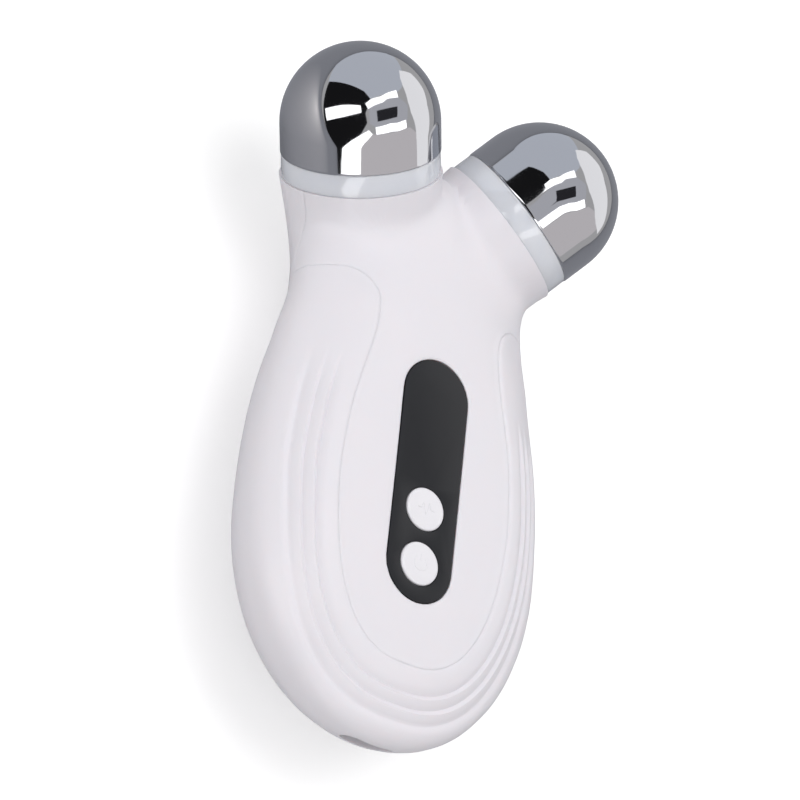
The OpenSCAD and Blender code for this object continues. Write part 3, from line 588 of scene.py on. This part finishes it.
def raised_line(bm, points, z):
    """A thin raised bead along points of the button's face."""
    rings = []
    for k, (x, y) in enumerate(points):
        (ax, ay), (bx, by) = points[max(k - 1, 0)], points[min(k + 1, len(points) - 1)]
        turn = math.atan2(by - ay, bx - ax)
        at_end = k in (0, len(points) - 1)
        ring = bmesh.ops.create_circle(bm, segments=8, radius=sign_line / 2, cap_ends=at_end)["verts"]
        for v in ring:
            v.co = Vector((0, v.co.x, v.co.y * 0.5 + sign_proud - sign_line / 4))
        bmesh.ops.rotate(bm, cent=(0, 0, 0), matrix=Matrix.Rotation(turn, 3, "Z"), verts=ring)
        bmesh.ops.translate(bm, vec=(x, y, z), verts=ring)
        on_ring = set(ring)
        rings.append([e for e in bm.edges if set(e.verts) <= on_ring])
    for a, b in zip(rings, rings[1:]):
        bmesh.ops.bridge_loops(bm, edges=a + b)


def button(name, node, y, body, strokes):
    bm = bmesh.new()
    crown = [(r, button_top - crown_drop * (r / button_r) ** 2) for r in np.linspace(0, crown_r, 12)]
    edge = [(button_r - button_edge + button_edge * math.sin(a),
             button_top - button_edge_z + button_edge * math.cos(a))
            for a in np.radians([20, 40, 60, 75, 90])]
    profile = crown + edge + [
        (button_r, button_flange_z), (button_flange_r, button_flange_z),
        (button_flange_r, button_flange_z - button_flange_t),
        (button_stem_r, button_flange_z - button_flange_t), (button_stem_r, button_stem_z),
        (0, button_stem_z),
    ]
    turned(bm, profile, 72)
    for stroke in strokes:
        raised_line(bm, stroke, button_top - 0.01)
    bmesh.ops.translate(bm, vec=(0, y, 0), verts=bm.verts)
    scene_piece(bm, name, pearl_plastic, body, node)


def arc(radius, start, end, count):
    return [(radius * math.cos(a), radius * math.sin(a))
            for a in np.radians(np.linspace(start, end, count))]


wave = [(-1.5, 0), (-0.9, 0), (-0.55, 0.95), (0, -0.95), (0.55, 0.95), (0.9, 0), (1.5, 0)]
button("mode_button_cap", "mode_button", button_ys[0], "mode_key", [wave])
button("power_button_cap", "power_button", button_ys[1], "power_key",
       [arc(1.15, 125, 415, 24), [(0, 0.35), (0, 1.5)]])


# ---------------------------------------------------------------------------
# Electrode domes. Bright chrome plating on moulded plastic: a half ball on a
# short straight skirt, pulled down onto its core by one screw.

dome_r, skirt_foot, dome_centre, dome_inner = 12.5, 30.6, 35.1, 11.2
dome_foot_soft, skirt_ring = 0.18, 2.2
post_r, post_foot, post_bore, bore_top = 3.0, 24.95, 1.05, 30.0

chrome, nodes, links, shader = material_nodes("bright_chrome")
shader.inputs["Base Color"].default_value = (0.55, 0.55, 0.57, 1)
shader.inputs["Metallic"].default_value = 1.0
where = nodes.new("ShaderNodeTexCoord")
smudge = nodes.new("ShaderNodeTexNoise")
smudge.inputs["Scale"].default_value = 160
smudge.inputs["Detail"].default_value = 5
film = nodes.new("ShaderNodeMapRange")
film.inputs["From Min"].default_value = 0.4
film.inputs["From Max"].default_value = 0.75
film.inputs["To Min"].default_value = 0.035
film.inputs["To Max"].default_value = 0.075
links.new(where.outputs["Object"], smudge.inputs["Vector"])
links.new(smudge.outputs["Fac"], film.inputs["Value"])
links.new(film.outputs["Result"], shader.inputs["Roughness"])
ripple = nodes.new("ShaderNodeTexNoise")
ripple.inputs["Scale"].default_value = 220
ripple.inputs["Detail"].default_value = 1
dimple = nodes.new("ShaderNodeBump")
dimple.inputs["Strength"].default_value = 0.06
dimple.inputs["Distance"].default_value = 0.0002
links.new(where.outputs["Object"], ripple.inputs["Vector"])
links.new(ripple.outputs["Fac"], dimple.inputs["Height"])
links.new(dimple.outputs["Normal"], shader.inputs["Normal"])


def at_head(side):
    """The frame of one head, whose own axis is its Z."""
    return (Matrix.Translation(Vector(head_pivot))
            @ Matrix.Rotation(head_lean - math.pi / 2, 4, "X")
            @ Matrix.Rotation(side * head_splay, 4, "Y"))


for side, word in ((-1, "left"), (1, "right")):
    dome = bmesh.new()
    outer = [(dome_r * math.cos(a), dome_centre + dome_r * math.sin(a))
             for a in np.radians(np.linspace(90, 0, 46))]
    outer[0] = (0, dome_centre + dome_r)
    foot = [(dome_r, skirt_foot + skirt_ring), (dome_r, skirt_foot + 2 * dome_foot_soft),
            (dome_r, skirt_foot + dome_foot_soft),
            (dome_r - 0.3 * dome_foot_soft, skirt_foot + 0.3 * dome_foot_soft),
            (dome_r - dome_foot_soft, skirt_foot), (dome_inner, skirt_foot)]
    inner = [(dome_inner * math.cos(a), dome_centre + dome_inner * math.sin(a))
             for a in np.radians(np.linspace(0, 74, 16))]
    post = [(post_r, inner[-1][1]), (post_r, post_foot), (post_bore, post_foot),
            (post_bore, bore_top), (0, bore_top)]
    turned(dome, outer + foot + inner + post, 160, at_head(side))
    scene_piece(dome, word + "_chrome_dome", chrome, "housing", word + "_electrode")


# ---------------------------------------------------------------------------
# Collars. Glossy pale rings of slightly milky plastic between neck and dome,
# slid over the cores, with softly rounded edges.

collar_r, collar_foot, collar_h, collar_bore = 12.4, 27.0, 3.6, 9.0

milky_plastic, shader = moulded_material(
    "milky_collar", (0.66, 0.68, 0.74), (0.69, 0.705, 0.755), 5, 0.2, 0.16, 0.05, 0.03)
shader.inputs["Subsurface Weight"].default_value = 0.35
shader.inputs["Subsurface Radius"].default_value = (0.8, 0.9, 1.0)
shader.inputs["Subsurface Scale"].default_value = 0.003
shader.inputs["Coat Weight"].default_value = 1.0
shader.inputs["Coat Roughness"].default_value = 0.03

for side, word in ((-1, "left"), (1, "right")):
    ring = bmesh.new()
    top = collar_foot + collar_h
    profile = rounded([
        (collar_bore, top - 1), (collar_bore, top), (collar_r - 0.02, top), (collar_r, collar_foot),
        (collar_bore, collar_foot), (collar_bore, top - 1),
    ], [0, 0.3, 0.3, 0.2, 0.2, 0])
    turned(ring, profile, 144, at_head(side))
    scene_piece(ring, word + "_milky_collar", milky_plastic, "housing", word + "_collar")


# ---------------------------------------------------------------------------
# Inside parts and the charging socket. They keep their own shapes, and take
# the finishes of plated steel, laminate, foil, foam, rubber and ferrite.

inside_finishes = {
    "sheet_steel": ((0.56, 0.57, 0.59), (0.50, 0.50, 0.52), 2, 0.08, 0.3, 0.15, 0.15, 1.0),
    "black_foam": ((0.03, 0.03, 0.033), (0.045, 0.045, 0.05), 2, 0.3, 0.85, 0.1, 0.5, 0.0),
    "black_plastic": ((0.02, 0.02, 0.022), (0.03, 0.03, 0.032), 3, 0.12, 0.5, 0.15, 0.2, 0.0),
    "frosted_guide": ((0.82, 0.85, 0.88), (0.88, 0.9, 0.92), 3, 0.1, 0.35, 0.1, 0.1, 0.0),
    "lamp_body": ((0.9, 0.86, 0.6), (0.92, 0.9, 0.78), 0.8, 0.1, 0.4, 0.1, 0.1, 0.0),
    "solder_mask": ((0.02, 0.14, 0.06), (0.03, 0.2, 0.09), 2, 0.25, 0.35, 0.15, 0.2, 0.0),
    "ferrite": ((0.06, 0.055, 0.05), (0.1, 0.09, 0.08), 1, 0.15, 0.7, 0.15, 0.4, 0.0),
    "pouch_foil": ((0.62, 0.63, 0.66), (0.55, 0.56, 0.6), 6, 0.5, 0.32, 0.2, 0.3, 1.0),
    "white_moulding": ((0.72, 0.72, 0.74), (0.78, 0.78, 0.8), 8, 0.12, 0.45, 0.1, 0.15, 0.0),
    "red_wire": ((0.5, 0.02, 0.02), (0.6, 0.04, 0.03), 2, 0.15, 0.4, 0.1, 0.1, 0.0),
    "brass_tag": ((0.72, 0.55, 0.25), (0.62, 0.47, 0.22), 1.5, 0.08, 0.32, 0.15, 0.2, 1.0),
}
inside_parts = {
    "sheet_steel": ("usb_socket", "mode_switch", "power_switch", "board_screws", "electrode_screws"),
    "black_foam": ("window_gasket", "battery_foam"),
    "black_plastic": ("mode_plunger", "power_plunger", "control_chip"),
    "frosted_guide": ("light_guide",),
    "lamp_body": ("indicator_leds",),
    "solder_mask": ("main_board",),
    "ferrite": ("boost_coil",),
    "pouch_foil": ("battery",),
    "white_moulding": ("battery_tray", "left_core", "right_core"),
    "red_wire": ("battery_leads", "left_lead", "right_lead"),
    "brass_tag": ("contact_terminals",),
}
for finish, values in inside_finishes.items():
    material, shader = moulded_material(finish, *values[:-1])
    shader.inputs["Metallic"].default_value = values[-1]
    for node in inside_parts[finish]:
        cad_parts[node].data.materials.clear()
        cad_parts[node].data.materials.append(material)


# ---------------------------------------------------------------------------
# The studio: a white sweep under the device, broad soft lamps, and painted
# reflections: dark and bright panels that only glossy rays see, and that the chrome mirrors.

scene = bpy.context.scene
scene.view_settings.view_transform = "Standard"

camera = bpy.data.objects.new("studio_camera", bpy.data.cameras.new("studio_camera"))
scene.collection.objects.link(camera)
camera.data.lens, camera.data.sensor_width = 199.4, 36
camera.data.clip_start, camera.data.clip_end = 0.05, 20
camera_spot = Vector((-0.34027, -0.27876, 0.53058))
camera_back = Vector((-0.48847, -0.44324, 0.75162))
camera_right = Vector((0.80602, 0.10076, 0.58324))
camera_up = Vector((-0.33425, 0.89072, 0.30804))
focal_px, aim_right_px, aim_down_px = 4431.5, 37.06, 66.47
aim = (camera_back * -focal_px + camera_right * aim_right_px - camera_up * aim_down_px).normalized()
right = (camera_right - camera_right.dot(aim) * aim).normalized()
turn = Matrix((right, right.cross(aim), -aim)).transposed()
camera.matrix_world = Matrix.Translation(camera_spot) @ turn.to_4x4()
scene.camera = camera

world = bpy.data.worlds.new("studio")
world.use_nodes = True
world.node_tree.nodes["Background"].inputs["Color"].default_value = (1, 1, 1, 1)
world.node_tree.nodes["Background"].inputs["Strength"].default_value = 0.56
scene.world = world

floor_mesh = bmesh.new()
bmesh.ops.create_grid(floor_mesh, x_segments=1, y_segments=1, size=3)
mesh = bpy.data.meshes.new("floor")
floor_mesh.to_mesh(mesh)
floor_mesh.free()
floor = bpy.data.objects.new("floor", mesh)
scene.collection.objects.link(floor)
material, nodes, links, shader = material_nodes("white_sweep")
shader.inputs["Roughness"].default_value = 0.9
shader.inputs["Specular IOR Level"].default_value = 0.0
seen = nodes.new("ShaderNodeLightPath")
# Painted reflection: glossy rays see the sweep as a painted dark grey floor with a painted soft glow of light
# on it, while camera and diffuse rays see it pale.
gloss_tone = nodes.new("ShaderNodeMix")
gloss_tone.data_type = "RGBA"
gloss_tone.inputs["A"].default_value = (0.86, 0.86, 0.86, 1)
links.new(seen.outputs["Is Glossy Ray"], gloss_tone.inputs["Factor"])
where = nodes.new("ShaderNodeTexCoord")
# The painted glow: a round spot of painted light on the painted dark floor, fading out from its middle.
painted_glow_spot = nodes.new("ShaderNodeMapping")
fade = nodes.new("ShaderNodeTexGradient")
fade.gradient_type = "SPHERICAL"
painted_glow_spot.inputs["Location"].default_value = (1.1, -0.31, 0)
painted_glow_spot.inputs["Scale"].default_value = (5.0, 7.7, 1)
painted_reflection_tone = nodes.new("ShaderNodeMix")
painted_reflection_tone.data_type = "RGBA"
painted_reflection_tone.inputs["A"].default_value = (0.31, 0.32, 0.35, 1)
painted_reflection_tone.inputs["B"].default_value = (1.0, 0.97, 0.97, 1)
links.new(where.outputs["Object"], painted_glow_spot.inputs["Vector"])
links.new(painted_glow_spot.outputs["Vector"], fade.inputs["Vector"])
links.new(fade.outputs["Fac"], painted_reflection_tone.inputs["Factor"])
links.new(painted_reflection_tone.outputs["Result"], gloss_tone.inputs["B"])
links.new(gloss_tone.outputs["Result"], shader.inputs["Base Color"])
lift = nodes.new("ShaderNodeMath")
lift.operation = "MULTIPLY"
lift.inputs[1].default_value = 0.35
links.new(seen.outputs["Is Camera Ray"], lift.inputs[0])
links.new(lift.outputs[0], shader.inputs["Emission Strength"])
shader.inputs["Emission Color"].default_value = (1, 1, 1, 1)
mesh.materials.append(material)


def soft_lamp(name, spot, aim_at, size, watts):
    lamp = bpy.data.objects.new(name, bpy.data.lights.new(name, "AREA"))
    lamp.data.shape, lamp.data.size, lamp.data.energy = "SQUARE", size, watts
    lamp.location = spot
    lamp.rotation_euler = (Vector(aim_at) - Vector(spot)).to_track_quat("-Z", "Y").to_euler()
    lamp.visible_glossy = False
    scene.collection.objects.link(lamp)


soft_lamp("top_softbox", (0.05, 0.1, 1.15), (0, 0, 0.02), 0.8, 5.5)
soft_lamp("side_softbox", (-0.9, -0.2, 0.6), (0, 0, 0.02), 0.6, 2.2)


def reflection_panel(name, corners, light, reach=1.4):
    """A painted reflection: a dark or glowing panel that only glossy rays see, given by the bearings
    (azimuth, elevation) of its corners.
    """
    bm = bmesh.new()
    rim = bmesh.ops.create_circle(bm, segments=len(corners), radius=1, cap_ends=True)["verts"]
    for v, (azimuth, elevation) in zip(rim, corners):
        a, e = math.radians(azimuth), math.radians(elevation)
        v.co = reach * Vector((math.cos(e) * math.cos(a), math.cos(e) * math.sin(a), math.sin(e)))
    bmesh.ops.triangulate(bm, faces=bm.faces)
    mesh = bpy.data.meshes.new(name)
    bm.to_mesh(mesh)
    bm.free()
    panel = bpy.data.objects.new(name, mesh)
    scene.collection.objects.link(panel)
    panel.visible_camera = panel.visible_diffuse = panel.visible_shadow = False
    panel.visible_transmission = panel.visible_volume_scatter = False
    material, nodes, links, shader = material_nodes(name)
    shader.inputs["Base Color"].default_value = (0, 0, 0, 1)
    shader.inputs["Specular IOR Level"].default_value = 0
    shader.inputs["Emission Color"].default_value = (*light, 1)
    shader.inputs["Emission Strength"].default_value = 1
    mesh.materials.append(material)


# The glow of the bright painted reflections.
white = (2.6, 2.6, 2.6)
# Painted reflections of a studio: dark flags and a stand, bright bars and lights, and pale walls and ceiling,
# seen only in gloss.
reflection_panel("dark_flag_reflection", [(149, 6), (150, 33), (151, 54), (162, 66), (-176, 66), (-151, 60), (-126, 56),
                   (-117, 41), (-116, 20), (-115, 4), (-118, 0), (-147, 0), (-177, 3), (165, 5)],
     (0.012, 0.012, 0.013), 1.7)
reflection_panel("slim_light_reflection", [(-176, 6), (-176, 31), (-173, 55), (-156, 55), (-157, 30), (-160, 5)], white)
reflection_panel("first_bar_reflection", [(-179, 61), (160, 67), (123, 73), (95, 69), (70, 59), (56, 65), (95, 77), (133, 81),
                   (180, 74), (-163, 65)], white)
reflection_panel("second_bar_reflection", [(-102, 60), (-80, 67), (-54, 70), (-27, 66), (-2, 58), (-13, 51), (-33, 56), (-52, 59),
                    (-72, 57), (-91, 52)], white)
reflection_panel("port_light_reflection", [(-111, 51), (-99, 50), (-101, 32), (-100, 21), (-99, 15), (-104, 7), (-112, 1), (-119, 1),
                    (-119, 24), (-116, 39)], white)
reflection_panel("lamp_stand_reflection", [(-149, 76), (31, 73), (-13, 71), (-107, 68)], (0.03, 0.03, 0.035))
reflection_panel("pale_wall_reflection", [(-100, 50), (-90, 51), (-50, 57), (-8, 47), (-3, 32), (-3, 12), (-60, 8), (-100, 8),
                   (-110, 8), (-101, 22), (-100, 36)], (0.76, 0.73, 0.74), 1.9)
reflection_panel("pale_ceiling_reflection", [(150, 5), (120, -1), (103, -3), (84, -3), (72, 2), (69, 20), (62, 50), (66, 62),
                      (120, 72), (162, 66), (151, 54), (150, 33)], (0.66, 0.70, 0.77), 1.8)
reflection_panel("middle_wall_reflection", [(-165, 66), (-120, 58), (-102, 60), (-54, 68), (-27, 64), (-2, 56), (30, 56), (56, 65),
                     (95, 77), (180, 74)], (0.6, 0.61, 0.65), 1.8)
reflection_panel("right_light_reflection", [(72, 26), (60, 15), (46, 13), (33, 17), (17, 12), (4, 6), (-6, 5), (-8, 20), (-6, 29),
                     (18, 52), (37, 54), (63, 46), (70, 38)], (1.25, 1.25, 1.26), 1.3)
